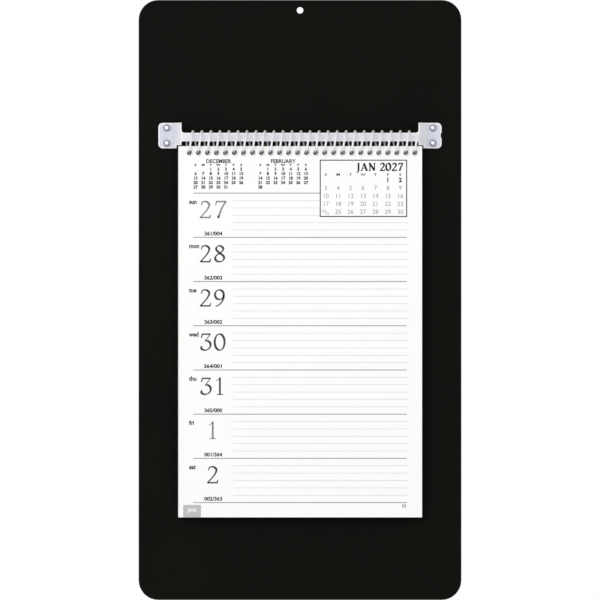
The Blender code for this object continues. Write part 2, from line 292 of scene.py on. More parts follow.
@dataclass(frozen=True)
class BoardCore(Finish):
    """Pressed grey board, seen at the cut edges, with its long fibres along the sheet."""

    slot: str = "board_core"
    colour: Colour = screen(36, 34, 30)
    fleck: Colour = screen(58, 54, 47)
    roughness: float = 0.9
    layer: float = 0.3 * MM
    fibre: float = 1.6 * MM
    fibre_depth: float = 0.08 * MM
    fleck_range: Point = (0.35, 0.7)
    gloss: float = 0.1

    def paint(self, graph: Graph) -> None:
        """Fills the material's node tree."""
        layers = graph.noise(self.fibre, detail=4, stretch=(1, self.fibre / self.layer, 1))
        graph.finish({
            "Base Color": graph.mixed(graph.step(layers, *self.fleck_range), self.colour, self.fleck),
            "Roughness": self.roughness,
            "Specular IOR Level": self.gloss,
            "Normal": graph.bumped(layers, self.fibre_depth),
        })


@dataclass(frozen=True)
class MilkyPlastic(Finish):
    """Milky sheet plastic: painted bluish shade where it lies on the black board, paler where it stands off,
    and a painted highlight at its cut edge.
    """

    slot: str = "milky_plastic"
    colour: Colour = screen(232, 233, 240)
    cloudy: Colour = screen(222, 223, 231)
    # painted shade: the black board showing through where the strap lies flat on it
    lying: Colour = screen(207, 210, 224)
    # painted highlight: the glow of the cut edges, standing in for light carried through the sheet
    cut: Colour = screen(250, 250, 252)
    lying_share: float = 0.75
    roughness: float = 0.32
    roughness_spread: float = 0.25
    cloud: float = 9 * MM
    cloud_range: Point = (0.35, 0.7)
    scuff: float = 0.35 * MM
    scuff_depth: float = 0.012 * MM
    scuff_stretch: Stretch = (0.15, 1, 1)
    refraction: float = 1.5
    softness: float = 0.6
    depth: float = 1.5 * MM

    def paint(self, graph: Graph) -> None:
        """Fills the material's node tree."""
        cloud = graph.step(graph.noise(self.cloud, detail=3), *self.cloud_range)
        scuff = graph.noise(self.scuff, detail=3, stretch=self.scuff_stretch)
        sheet = graph.mixed(cloud, self.colour, self.cloudy)
        # painted shade of the black board, strongest on the flats that lie on it, broken up by the cloud
        lying = graph.mark("lying") * (self.lying_share + cloud * (1 - self.lying_share))
        sheet = graph.mixed(lying, sheet, self.lying)
        graph.finish({
            # painted highlight on the rounded cut edges and, more weakly, on the rim
            "Base Color": graph.mixed(graph.mark("cut"), sheet, self.cut),
            "Roughness": self.roughness + (scuff - 0.5) * self.roughness_spread,
            "IOR": self.refraction,
            "Subsurface Weight": self.softness,
            "Subsurface Radius": (1, 1, 1),
            "Subsurface Scale": self.depth,
            "Normal": graph.bumped(scuff, self.scuff_depth),
        })


@dataclass(frozen=True)
class ClearPlastic(Finish):
    """Drawn milky plastic wire with faint draw lines, with painted shade where it runs through the leaves'
    holes.
    """

    slot: str = "clear_plastic"
    colour: Colour = screen(233, 235, 239)
    streaked: Colour = screen(224, 227, 233)
    # painted shade of the dark holes that the wire runs through
    rubbed: Colour = screen(164, 169, 185)
    roughness: float = 0.16
    roughness_spread: float = 0.08
    streak: float = 0.4 * MM
    streak_depth: float = 0.006 * MM
    refraction: float = 1.46
    softness: float = 0.9
    depth: float = 2.0 * MM
    clearness: float = 0.05

    def paint(self, graph: Graph) -> None:
        """Fills the material's node tree."""
        streak = graph.noise(self.streak, detail=2)
        wire = graph.mixed(streak, self.colour, self.streaked)
        graph.finish({
            # painted shade on the wire inside the holes
            "Base Color": graph.mixed(graph.mark("rubbed"), wire, self.rubbed),
            "Roughness": self.roughness + streak * self.roughness_spread,
            "IOR": self.refraction,
            "Subsurface Weight": self.softness,
            "Subsurface Radius": (1, 1, 1),
            "Subsurface Scale": self.depth,
            "Transmission Weight": self.clearness,
            "Normal": graph.bumped(streak, self.streak_depth),
        })


@dataclass(frozen=True)
class Nickel(Finish):
    """Nickel plate over pressed steel, with light scratches, and painted shade down the sides of the crown,
    where it reflects the dark board.
    """

    slot: str = "nickel"
    colour: Colour = screen(226, 228, 236)
    tarnish: Colour = screen(204, 206, 214)
    # painted shade: stands in for the dark board reflected in the crown's sides
    dull: Colour = screen(152, 155, 168)
    roughness: float = 0.24
    roughness_spread: float = 0.14
    blotch: float = 1.6 * MM
    blotch_range: Point = (0.45, 0.8)
    scratch: float = 0.25 * MM
    scratch_depth: float = 0.01 * MM
    scratch_stretch: Stretch = (1, 1, 0.2)

    def paint(self, graph: Graph) -> None:
        """Fills the material's node tree."""
        scratch = graph.noise(self.scratch, detail=4, stretch=self.scratch_stretch)
        blotch = graph.step(graph.noise(self.blotch, detail=3), *self.blotch_range)
        plate = graph.mixed(blotch, self.colour, self.tarnish)
        graph.finish({
            # painted reflection shade, marked by distance from the rivet's axis
            "Base Color": graph.mixed(graph.mark("dull"), plate, self.dull),
            "Metallic": 1.0,
            "Roughness": self.roughness + scratch * self.roughness_spread,
            "Normal": graph.bumped(scratch, self.scratch_depth),
        })


@dataclass(frozen=True)
class Paper(Finish):
    """Uncoated white writing paper with a soft fibre grain."""

    slot: str = "paper"
    colour: Colour = screen(249, 249, 248)
    shade: Colour = screen(243, 243, 241)
    roughness: float = 0.85
    fibre: float = 0.5 * MM
    fibre_depth: float = 0.01 * MM
    fibre_share: float = 0.5
    cloud: float = 12 * MM
    gloss: float = 0.2

    def paint(self, graph: Graph) -> None:
        """Fills the material's node tree."""
        fibre = graph.noise(self.fibre, detail=5)
        cloud = graph.noise(self.cloud, detail=3)
        uneven = fibre * self.fibre_share + cloud * (1 - self.fibre_share)
        graph.finish({
            "Base Color": graph.mixed(uneven, self.colour, self.shade),
            "Roughness": self.roughness,
            "Specular IOR Level": self.gloss,
            "Normal": graph.bumped(fibre, self.fibre_depth),
        })


@dataclass(frozen=True)
class Chipboard(Finish):
    """Grey chipboard with short dark and pale fibres."""

    slot: str = "chipboard"
    colour: Colour = screen(150, 141, 126)
    fleck: Colour = screen(112, 104, 92)
    roughness: float = 0.9
    fibre: float = 0.9 * MM
    fibre_depth: float = 0.03 * MM
    fibre_stretch: Stretch = (1, 1, 0.35)
    speck: float = 2.2 * MM
    speck_range: Point = (0.56, 0.68)
    speck_share: float = 0.4
    gloss: float = 0.15

    def paint(self, graph: Graph) -> None:
        """Fills the material's node tree."""
        fibre = graph.noise(self.fibre, detail=5, stretch=self.fibre_stretch)
        speck = graph.step(graph.noise(self.speck, detail=6), *self.speck_range)
        uneven = fibre * (1 - self.speck_share) + speck * self.speck_share
        graph.finish({
            "Base Color": graph.mixed(uneven, self.colour, self.fleck),
            "Roughness": self.roughness,
            "Specular IOR Level": self.gloss,
            "Normal": graph.bumped(fibre, self.fibre_depth),
        })


@dataclass(frozen=True)
class PrintedInk(Finish):
    """Offset ink of one tone, a little uneven where the paper's fibres take less of it."""

    slot: str = "paper"
    colour: Colour = screen(30, 30, 30)
    roughness: float = 0.7
    fibre: float = 0.3 * MM
    thin_range: Point = (0.45, 0.8)
    thin_share: float = 0.06
    gloss: float = 0.15

    def paint(self, graph: Graph) -> None:
        """Fills the material's node tree."""
        thin = tuple(part + (1 - part) * self.thin_share for part in self.colour)
        spots = graph.step(graph.noise(self.fibre, detail=3), *self.thin_range)
        graph.finish({
            "Base Color": graph.mixed(spots, self.colour, thin),
            "Roughness": self.roughness,
            "Specular IOR Level": self.gloss,
        })


class Bench:
    """The operators that the pieces are modelled with."""

    doubled = 0.002 * MM
    near = 0.01 * MM

    @staticmethod
    def use(*objects: bpy.types.Object) -> bpy.types.Object:
        """Selects these objects alone and makes the first one active."""
        bpy.ops.object.select_all(action="DESELECT")
        for thing in objects:
            thing.select_set(True)
        bpy.context.view_layer.objects.active = objects[0]
        return objects[0]

    @staticmethod
    def added(name: str) -> bpy.types.Object:
        """Names what the last operator added."""
        thing = bpy.context.object
        thing.name = name
        thing.data.name = name
        return thing

    @staticmethod
    def slab(name: str, low: Vector, high: Vector) -> bpy.types.Object:
        """Adds a box between two corners, with its place in its mesh."""
        bpy.ops.object.select_all(action="DESELECT")
        bpy.ops.mesh.primitive_cube_add(size=1, location=(low + high) / 2)
        box = Bench.added(name)
        box.scale = high - low
        Bench.settle(box)
        return box

    @staticmethod
    def settle(*objects: bpy.types.Object) -> None:
        """Puts the objects' places, turns and scales into their meshes."""
        Bench.use(*objects)
        bpy.ops.object.transform_apply(location=True, rotation=True, scale=True)

    @staticmethod
    def modify(thing: bpy.types.Object, kind: str, **settings: object) -> None:
        """Adds a modifier with these settings and applies it."""
        Bench.use(thing)
        modifier = thing.modifiers.new(kind.lower(), kind)
        for name, setting in settings.items():
            setattr(modifier, name, setting)
        bpy.ops.object.modifier_apply(modifier=modifier.name)

    @staticmethod
    def copy(thing: bpy.types.Object, name: str, move: Vector) -> bpy.types.Object:
        """Copies an object with its own mesh, moved by a step."""
        twin = thing.copy()
        twin.data = thing.data.copy()
        twin.name = name
        twin.data.name = name
        twin.data.transform(Matrix.Translation(move))
        bpy.context.scene.collection.objects.link(twin)
        return twin

    @staticmethod
    def drop(*objects: bpy.types.Object) -> None:
        """Deletes objects that have served their turn."""
        for thing in objects:
            bpy.data.objects.remove(thing)

    @staticmethod
    def join(name: str, objects: list[bpy.types.Object]) -> bpy.types.Object:
        """Joins objects into one."""
        Bench.use(*objects)
        if len(objects) > 1:
            bpy.ops.object.join()
        return Bench.added(name)

    @staticmethod
    def clean(thing: bpy.types.Object) -> None:
        """Merges doubled points and turns every face outwards."""
        Bench.use(thing)
        bpy.ops.object.mode_set(mode="EDIT")
        bpy.ops.mesh.select_all(action="SELECT")
        bpy.ops.mesh.remove_doubles(threshold=Bench.doubled)
        bpy.ops.mesh.normals_make_consistent(inside=False)
        bpy.ops.object.mode_set(mode="OBJECT")

    @staticmethod
    def smooth(thing: bpy.types.Object, degrees: float) -> None:
        """Shades smooth across edges that turn less than an angle."""
        Bench.use(thing)
        bpy.ops.object.shade_smooth_by_angle(angle=math.radians(degrees))

    @staticmethod
    def mark(thing: bpy.types.Object, name: str, shares: list[float], each: str = "POINT") -> None:
        """Marks each point or face of a mesh with a share that a finish can read."""
        thing.data.attributes.new(name, "FLOAT", each).data.foreach_set("value", shares)

    @staticmethod
    def spun(name: str, profile: list[Point], sides: int) -> bpy.types.Object:
        """Spins a profile about the Y axis.

        Args:
            name: the piece's name.
            profile: the distance from the axis and the place along it, point by point.
            sides: how many steps the full turn has.

        Returns:
            The spun piece.
        """
        bpy.ops.object.select_all(action="DESELECT")
        bpy.ops.mesh.primitive_plane_add(size=MM)
        piece = Bench.added(name)
        bpy.ops.object.mode_set(mode="EDIT")
        bpy.ops.mesh.select_mode(type="VERT")
        bpy.ops.mesh.select_all(action="SELECT")
        bpy.ops.mesh.merge(type="CENTER")
        spots = [Vector((radius, along, 0)) for radius, along in profile]
        bpy.ops.transform.translate(value=spots[0])
        for start, end in zip(spots, spots[1:]):
            bpy.ops.mesh.extrude_region_move(TRANSFORM_OT_translate={"value": end - start})
        bpy.ops.mesh.select_all(action="SELECT")
        bpy.ops.mesh.spin(steps=sides, angle=math.tau, center=(0, 0, 0), axis=(0, 1, 0))
        bpy.ops.object.mode_set(mode="OBJECT")
        Bench.clean(piece)
        return piece


def fit(piece: bpy.types.Object, body: str, finish: Finish, material: bpy.types.Material,
        *nodes: str) -> None:
    """Dresses a finished piece and fastens it to its body.

    Args:
        piece: the finished mesh.
        body: the body that carries it.
        finish: not used.
        material: the finish's material.
        nodes: the frame's nodes that it stands for.
    """
    piece.data.materials.clear()
    piece.data.materials.append(material)
    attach(piece, body)
    if nodes:
        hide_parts(*nodes)
    log.info("%s rides on %s with %d faces", piece.name, body, len(piece.data.polygons))


@dataclass
class Studio:
    """The camera, the soft light, the white surround and the floor."""

    picture_side: float = 419.1 * MM
    picture_middle: float = -202.36 * MM
    camera_distance: float = 6.0
    camera_reach: float = 60.0
    sensor: float = 36.0
    white: Colour = (1, 1, 1)
    surround_light: float = 0.834
    key_place: Vector = field(default_factory=lambda: Vector((-0.45, -1.6, 0.3)))
    key_side: float = 0.9
    key_power: float = 7.5
    floor_drop: float = 160 * MM
    floor_side: float = 6.0
    floor_colour: Colour = screen(244, 244, 244)
    floor_glow: float = 0.75

    def place_camera(self, board_face: float) -> None:
        """Looks straight at the board, so that the picture spans its side at the board's face."""
        spot = (0, board_face - self.camera_distance, self.picture_middle)
        bpy.ops.object.camera_add(location=spot, rotation=FACING_FRONT)
        camera = Bench.added("camera")
        camera.data.sensor_width = self.sensor
        camera.data.lens = self.sensor * self.camera_distance / self.picture_side
        camera.data.clip_end = self.camera_reach
        bpy.context.scene.camera = camera

    def seen(self, graph: Graph) -> Shade:
        """Tells the rays that show the background from the rays that light the object."""
        path = graph.node("ShaderNodeLightPath")
        camera, glossy, through = (
            Shade(graph, path.outputs[name])
            for name in ("Is Camera Ray", "Is Glossy Ray", "Is Transmission Ray")
        )
        return camera.largest(glossy).largest(through)

    def light_up(self) -> None:
        """Makes the white surround and one soft light from the upper left."""
        world = bpy.data.worlds.new("surround")
        bpy.context.scene.world = world
        graph = Graph(world)
        strength = self.surround_light + self.seen(graph) * (1 - self.surround_light)
        shader = graph.node("ShaderNodeBackground", None, {"Color": self.white, "Strength": strength})
        graph.node("ShaderNodeOutputWorld", None, {"Surface": shader.outputs[0]})
        aim = Vector((0, 0, self.picture_middle)) - self.key_place
        turn = aim.to_track_quat("-Z", "Y").to_euler()
        bpy.ops.object.light_add(type="AREA", location=self.key_place, rotation=turn)
        key = Bench.added("key_light")
        key.data.size = self.key_side
        key.data.energy = self.key_power

    def lay_floor(self, lowest: float) -> None:
        """Lays a pale floor a little under the board, with the board's shadow on it."""
        bpy.ops.object.select_all(action="DESELECT")
        bpy.ops.mesh.primitive_plane_add(size=self.floor_side, location=(0, 0, lowest - self.floor_drop))
        floor = Bench.added("floor")
        Bench.settle(floor)
        paint = bpy.data.materials.new("pale_floor")
        graph = Graph(paint)
        matt = graph.node("ShaderNodeBsdfDiffuse", None, {"Color": self.floor_colour})
        glow = graph.node("ShaderNodeEmission", None, {"Color": self.white, "Strength": 1.0})
        share = self.seen(graph) * self.floor_glow
        both = graph.node("ShaderNodeMixShader", None, {0: share, 1: matt.outputs[0], 2: glow.outputs[0]})
        graph.node("ShaderNodeOutputMaterial", None, {"Surface": both.outputs[0]})
        floor.data.materials.append(paint)

    def set_up(self) -> None:
        """Sets the whole studio up around the object."""
        bpy.context.scene.view_settings.view_transform = "Standard"
        self.place_camera(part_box("backboard_front_sheet")[0].y)
        self.light_up()
        self.lay_floor(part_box("backboard_core")[0].z)


@dataclass
class Board:
    """The board and its two covering sheets, which keep the frame's shapes."""

    core: BoardCore = BoardCore()
    cover: CoverSheet = CoverSheet()

    def dress(self) -> None:
        """Gives each layer its material."""
        cover = self.cover.material()
        layers = {
            "backboard_core": self.core.material(),
            "backboard_front_sheet": cover,
            "backboard_back_sheet": cover,
        }
        for name, material in layers.items():
            node = frame["nodes"][name]
            node.data.materials.clear()
            node.data.materials.append(material)
            log.info("%s keeps its shape", name)


class Zone(Enum):
    """The parts of the strap's surface that its finish tells apart."""

    SHEET = 0
    CUT = 1
    RIM = 2


@dataclass
class Strap:
    """The milky strap: a narrow strip that widens to a riveted tab at both ends."""

    thickness: float = 0.8 * MM
    strip_height: float = 5.95 * MM
    tab_above_strip: float = 7.1 * MM
    tab_flat: float = 9.4 * MM
    slope_run: float = 6.6 * MM
    corner: float = 3.0 * MM
    fillet: float = 2.2 * MM
    foot_fillet: float = 0.8 * MM
    side_clearance: float = 0.8 * MM
    page_clearance: float = 0.3 * MM
    notch_height: float = 3.4 * MM
    notch_depth: float = 0.6 * MM
    fold_radius: float = 1.5 * MM
    fold_steps: int = 8
    corner_steps: int = 8
    rivet_hole: float = 3.6 * MM
    rivet_hole_sides: int = 32
    edge_round: float = 0.38 * MM
    edge_steps: int = 3
    edge_angle: float = math.radians(60)
    flat_angle: float = math.radians(1)
    smooth_below: float = 40
    rim: float = 0.7 * MM
    # share of the painted edge highlight that the rim gets
    rim_glow: float = 0.6
    finish: MilkyPlastic = MilkyPlastic()

    def path(self) -> list[Vector]:
        """Gives the right half of the strap's middle line as seen from above, from its middle to its end."""
        low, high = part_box("hanger_strap")
        strip = low.y + self.thickness / 2
        tab = high.y - self.thickness / 2
        inner = high.x - self.tab_flat - self.slope_run
        corners = [(0, strip), (inner, strip), (inner + self.slope_run, tab), (high.x, tab)]
        spots = [Vector(corner) for corner in corners]
        line = [spots[0]]
        for before, here, after in zip(spots, spots[1:], spots[2:]):
            line += self.fold(before, here, after)
        return [*line, spots[-1]]

    def fold(self, before: Vector, here: Vector, after: Vector) -> list[Vector]:
        """Rounds one fold of the middle line.

        Args:
            before: the corner before the fold.
            here: the fold's own corner.
            after: the corner after it.

        Returns:
            The points of the rounded fold.
        """
        come = (before - here).normalized()
        leave = (after - here).normalized()
        half = come.angle(leave) / 2
        reach = self.fold_radius / math.tan(half)
        middle = here + (come + leave).normalized() * self.fold_radius / math.sin(half)
        start = here + come * reach - middle
        end = here + leave * reach - middle
        turn = start.angle(end)
        steps = [i / self.fold_steps for i in range(self.fold_steps + 1)]
        return [
            middle + (start * math.sin((1 - s) * turn) + end * math.sin(s * turn)) / math.sin(turn)
            for s in steps
        ]

    def cut_flat(self, tab_start: float, cutout: float, tab_end: float) -> bpy.types.Object:
        """Cuts the strap's flat shape out of one sheet and rounds its corners.

        Args:
            tab_start: where a tab starts along the flat strap.
            cutout: where a tab's cutout over the page's corner ends.
            tab_end: where the flat strap ends.

        Returns:
            The flat strap, with its length along X, in edit mode.
        """
        low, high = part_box("hanger_strap")
        strip_top = high.z - self.tab_above_strip
        strip_bottom = strip_top - self.strip_height
        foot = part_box("week_leaf_1")[1].z + self.page_clearance
        bpy.ops.object.select_all(action="DESELECT")
        bpy.ops.mesh.primitive_plane_add(size=1, location=(0, 0, (low.z + high.z) / 2), rotation=FACING_FRONT)
        strap = Bench.added("milky_strap")
        strap.scale = (2 * tab_end, high.z - low.z, 1)
        Bench.settle(strap)
        bpy.ops.object.mode_set(mode="EDIT")
        cuts = [((x, 0, 0), (1, 0, 0)) for x in (-cutout, -tab_start, tab_start, cutout)]
        cuts += [((0, 0, z), (0, 0, 1)) for z in (foot, strip_bottom, strip_top)]
        for spot, facing in cuts:
            bpy.ops.mesh.select_all(action="SELECT")
            bpy.ops.mesh.bisect(plane_co=spot, plane_no=facing)
        bpy.ops.mesh.select_mode(type="FACE")
        bpy.ops.mesh.select_all(action="DESELECT")
        bpy.ops.object.mode_set(mode="OBJECT")
        for face in strap.data.polygons:
            x, _, z = face.center
            beside_strip = abs(x) < tab_start and not strip_bottom < z < strip_top
            face.select = beside_strip or (abs(x) < cutout and z < foot)
        bpy.ops.object.mode_set(mode="EDIT")
        bpy.ops.mesh.delete(type="FACE")
        bpy.ops.mesh.select_all(action="SELECT")
        bpy.ops.mesh.dissolve_limited(angle_limit=self.flat_angle)
        self.round_corners(strap, tab_end, (low.z, high.z), self.corner)
        self.round_corners(strap, tab_start, (strip_top,), self.fillet)
        self.round_corners(strap, tab_start, (strip_bottom,), self.foot_fillet)
        self.inset_rim(strap)
        return strap

    def inset_rim(self, strap: bpy.types.Object) -> None:
        """Parts a narrow rim from the flat strap, which is in edit mode."""
        bpy.ops.mesh.select_mode(type="FACE")
        bpy.ops.mesh.select_all(action="SELECT")
        bpy.ops.mesh.inset(thickness=self.edge_round + self.rim, depth=0)
        bpy.ops.object.mode_set(mode="OBJECT")
        for _ in Zone:
            strap.data.materials.append(None)
        for face in strap.data.polygons:
            face.material_index = (Zone.SHEET if face.select else Zone.RIM).value
        bpy.ops.object.mode_set(mode="EDIT")

    def round_corners(self, strap: bpy.types.Object, x: float, heights: tuple[float, ...],
                      radius: float) -> None:
        """Rounds some corners of the flat strap at both sides.

        Args:
            strap: the flat strap, in edit mode.
            x: how far the corners are from the middle.
            heights: the heights of the corners.
            radius: the corners' radius.
        """
        bpy.ops.mesh.select_mode(type="VERT")
        bpy.ops.mesh.select_all(action="DESELECT")
        bpy.ops.object.mode_set(mode="OBJECT")
        for spot in strap.data.vertices:
            at_height = min(abs(spot.co.z - z) for z in heights) < Bench.near
            spot.select = at_height and abs(abs(spot.co.x) - x) < Bench.near
        bpy.ops.object.mode_set(mode="EDIT")
        bpy.ops.mesh.bevel(affect="VERTICES", offset=radius, segments=self.corner_steps)

    def build(self) -> bpy.types.Object:
        """Cuts the strap flat, folds it along its path and gives it thickness, rivet holes and soft edges."""
        half = self.path()
        runs = [0.0]
        for start, end in zip(half, half[1:]):
            runs.append(runs[-1] + (end - start).length)
        slope = math.hypot(self.slope_run, half[-1].y - half[0].y)
        tab_start = runs[-1] - self.tab_flat - slope
        page_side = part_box("week_leaf_1")[1].x + self.side_clearance
        over_page = page_side - (half[-1].x - self.tab_flat - self.slope_run)
        strap = self.cut_flat(tab_start, tab_start + slope * over_page / self.slope_run, runs[-1])
        for run in runs[1:-1]:
            for side in (run, -run):
                bpy.ops.mesh.select_all(action="SELECT")
                bpy.ops.mesh.bisect(plane_co=(side, 0, 0), plane_no=(1, 0, 0))
        bpy.ops.object.mode_set(mode="OBJECT")
        for spot in strap.data.vertices:
            run = min(abs(spot.co.x), runs[-1])
            i = max(k for k in range(len(runs) - 1) if runs[k] <= run)
            x, y = half[i].lerp(half[i + 1], (run - runs[i]) / (runs[i + 1] - runs[i]))
            spot.co = (math.copysign(x, spot.co.x), y, spot.co.z)
        Bench.clean(strap)
        Bench.modify(strap, "SOLIDIFY", thickness=self.thickness, offset=0, use_even_offset=True)
        for cutter in (self.punch(), self.notch_cutter()):
            Bench.modify(strap, "BOOLEAN", operation="DIFFERENCE", object=cutter, solver="EXACT")
            Bench.drop(cutter)
        Bench.modify(strap, "BEVEL", width=self.edge_round, segments=self.edge_steps, limit_method="ANGLE",
                     angle_limit=self.edge_angle, material=Zone.CUT.value)
        self.mark_edges(strap)
        Bench.smooth(strap, self.smooth_below)
        return strap

    def mark_edges(self, strap: bpy.types.Object) -> None:
        """Marks where the painted highlight goes, on the rounded cut edges and the rim inside them, and where
        the painted board shade goes, on the flats that lie on the board.
        """
        # painted highlight: full on the rounded cut edges, part of it on the rim
        shares = {Zone.SHEET.value: 0.0, Zone.RIM.value: self.rim_glow, Zone.CUT.value: 1.0}
        cut = [shares[face.material_index] for face in strap.data.polygons]
        for face in strap.data.polygons:
            face.material_index = 0
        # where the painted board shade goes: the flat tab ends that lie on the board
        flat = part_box("hanger_strap")[1].x - self.tab_flat
        reach = self.fold_radius / 2
        lying = [ramp(abs(spot.co.x), flat - reach, flat + reach) for spot in strap.data.vertices]
        Bench.mark(strap, "cut", cut, "FACE")
        Bench.mark(strap, "lying", lying)

    def punch(self) -> bpy.types.Object:
        """Makes the pins that punch the rivet holes through both tabs."""
        pins = []
        for name in Rivets.names:
            low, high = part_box(name)
            bpy.ops.mesh.primitive_cylinder_add(
                vertices=self.rivet_hole_sides, radius=self.rivet_hole / 2, depth=high.y - low.y,
                location=(low + high) / 2, rotation=FACING_FRONT,
            )
            pins.append(Bench.added("punch"))
        punch = Bench.join("punch", pins)
        Bench.settle(punch)
        return punch

    def notch_cutter(self) -> bpy.types.Object:
        """Makes the block that cuts the notch in the right tab's outer edge."""
        low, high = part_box("hanger_strap")
        middle = Vector((high.x, high.y, (low.z + high.z) / 2))
        reach = Vector((self.notch_depth, 2 * self.thickness, self.notch_height / 2))
        return Bench.slab("notch", middle - reach, middle + reach)

    def dress(self) -> None:
        """Builds the strap and fastens it to the board."""
        fit(self.build(), "board", self.finish, self.finish.material(), "hanger_strap")


@dataclass
class Rivets:
    """Four semi-tubular rivets with domed heads and clinched tails."""

    names = ("rivet_upper_left", "rivet_lower_left", "rivet_upper_right", "rivet_lower_right")
    head: float = 5.4 * MM
    rim: float = 0.4 * MM
    rim_round: float = 0.15 * MM
    dome: float = 1.0 * MM
    shank: float = 3.0 * MM
    tail: float = 4.6 * MM
    tail_thickness: float = 0.7 * MM
    bore: float = 1.8 * MM
    bore_depth: float = 2.0 * MM
    crown: float = 4.8 * MM
    # where the painted ring shade starts and where it is full, from the axis, and its share on the flange
    bright: float = 0.55 * MM
    dull: float = 1.45 * MM
    flange_dullness: float = 1 / 3
    dome_steps: int = 8
    sides: int = 40
    smooth_below: float = 40
    finish: Nickel = Nickel()

    def profile(self, length: float) -> list[Point]:
        """Gives the rivet's half section, from the head's middle to the tail's bore.

        Args:
            length: from the head's apex to the tail's end.

        Returns:
            The distance from the axis and the place along it, counted from the apex.
        """
        head = self.head / 2
        soft = self.rim_round
        seat = self.dome + self.rim
        clinch = length - self.tail_thickness
        turns = [math.pi / 2 * i / self.dome_steps for i in range(self.dome_steps + 1)]
        foot = self.crown / 2
        crown = [(foot * math.sin(turn), self.dome * (1 - math.cos(turn))) for turn in turns]
        flange = [(foot + soft, self.dome), (head - soft, self.dome), (head, self.dome + soft)]
        rim = [(head, seat - soft), (head - soft, seat), (self.shank / 2, seat)]
        tail = self.tail / 2
        middle = (tail + self.bore / 2) / 2
        clinched = [
            (self.shank / 2, clinch),
            (tail - soft, clinch),
            (tail, clinch + soft),
            (tail, length - self.tail_thickness / 2),
            ((tail + middle) / 2, length - self.tail_thickness / 8),
            (middle, length),
            (self.bore / 2 + soft, length - soft / 2),
            (self.bore / 2, length - self.tail_thickness / 2),
            (self.bore / 2, length - self.bore_depth),
            (0, length - self.bore_depth),
        ]
        return crown + flange + rim + clinched

    def dullness(self, spot: Vector) -> float:
        """Tells how much painted shade the plating gets: none on top of the crown, full down its sides, a
        share of it on the flange.
        """
        out = math.hypot(spot.x, spot.z)
        on_crown = out <= self.crown / 2 + self.rim_round
        return ramp(out, self.bright, self.dull) * (1 if on_crown else self.flange_dullness)

    def dress(self) -> None:
        """Models one rivet, copies it to the four places and fastens the copies to the board."""
        material = self.finish.material()
        low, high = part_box(self.names[0])
        pattern = Bench.spun("rivet", self.profile(high.y - low.y), self.sides)
        # marks the painted reflection shade on each point
        Bench.mark(pattern, "dull", [self.dullness(spot.co) for spot in pattern.data.vertices])
        Bench.smooth(pattern, self.smooth_below)
        for name in self.names:
            low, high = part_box(name)
            spot = Vector(((low.x + high.x) / 2, low.y, (low.z + high.z) / 2))
            fit(Bench.copy(pattern, f"nickel_{name}", spot), "board", self.finish, material, name)
        Bench.drop(pattern)


@dataclass
class Coil:
    """The plastic wire wound through every leaf, with both ends bent in along the pad.

    The leaves' weight draws each curl's lower part up towards the strap.
    """

    wire: float = 1.5 * MM
    radius: float = 7.7 * MM
    flattening: float = 0.45 * MM
    start_curl: float = -0.34
    end_curl: float = 25.34
    steps_per_curl: int = 36
    wire_steps: int = 4
    smooth_below: float = 60
    strand_offset: float = -0.54 * MM
    tail_bend: float = 1.2 * MM
    tail_length: float = 2.0 * MM
    tail_steps: int = 6
    # how far below the axis the painted hole shade starts and where it is full
    rubbed_from: float = 5.6 * MM
    rubbed_below: float = 6.3 * MM
    finish: ClearPlastic = ClearPlastic()

    def point(self, curls: float, axis: Vector, first_hole: float) -> Vector:
        """Gives a point of the wire's middle line.

        Args:
            curls: how many curls it is from the first hole.
            axis: a point on the coil's axis.
            first_hole: the first hole's place along X.

        Returns:
            The point.
        """
        angle = math.tau * curls
        x = first_hole + self.strand_offset + HOLE_PITCH * curls
        drop = self.radius * math.cos(angle) - self.flattening * ((1 + math.cos(angle)) / 2) ** 2
        return Vector((x, axis.y - self.radius * math.sin(angle), axis.z - drop))

    def tail(self, end: Vector, along: Vector, inward: Vector) -> list[Vector]:
        """Bends one end of the wire in along the pad."""
        turns = [math.pi / 2 * (i + 1) / self.tail_steps for i in range(self.tail_steps)]
        bend = [end + self.tail_bend * (math.sin(a) * along + (1 - math.cos(a)) * inward) for a in turns]
        return [*bend, bend[-1] + self.tail_length * inward]

    def line(self, axis: Vector, first_hole: float) -> list[Vector]:
        """Gives the wire's whole middle line, tails included."""
        count = round((self.end_curl - self.start_curl) * self.steps_per_curl)
        curls = [self.start_curl + i / self.steps_per_curl for i in range(count + 1)]
        body = [self.point(curl, axis, first_hole) for curl in curls]
        inward = Vector((1, 0, 0))
        first = self.tail(body[0], (body[0] - body[1]).normalized(), inward)
        last = self.tail(body[-1], (body[-1] - body[-2]).normalized(), -inward)
        return [*reversed(first), *body, *last]

    def build(self, axis: Vector, first_hole: float) -> bpy.types.Object:
        """Draws the wire as a round curve and turns it into a mesh."""
        bpy.ops.object.select_all(action="DESELECT")
        bpy.ops.curve.primitive_nurbs_path_add()
        coil = Bench.added("clear_coil")
        coil.data.splines.clear()
        coil.data.bevel_depth = self.wire / 2
        coil.data.bevel_resolution = self.wire_steps
        coil.data.use_fill_caps = True
        line = self.line(axis, first_hole)
        spline = coil.data.splines.new("POLY")
        spline.points.add(len(line) - 1)
        for point, spot in zip(spline.points, line):
            point.co = (*spot, 1)
        Bench.use(coil)
        bpy.ops.object.convert(target="MESH")
        Bench.clean(coil)
        # painted shade on the curls' lower parts, which run through the holes
        drops = [axis.z - spot.co.z for spot in coil.data.vertices]
        Bench.mark(coil, "rubbed", [ramp(drop, self.rubbed_from, self.rubbed_below) for drop in drops])
        Bench.smooth(coil, self.smooth_below)
        return coil

    def dress(self, axis: Vector, first_hole: float) -> None:
        """Builds the coil and fastens it to the pad."""
        fit(self.build(axis, first_hole), "pad", self.finish, self.finish.material(), "binding_coil")


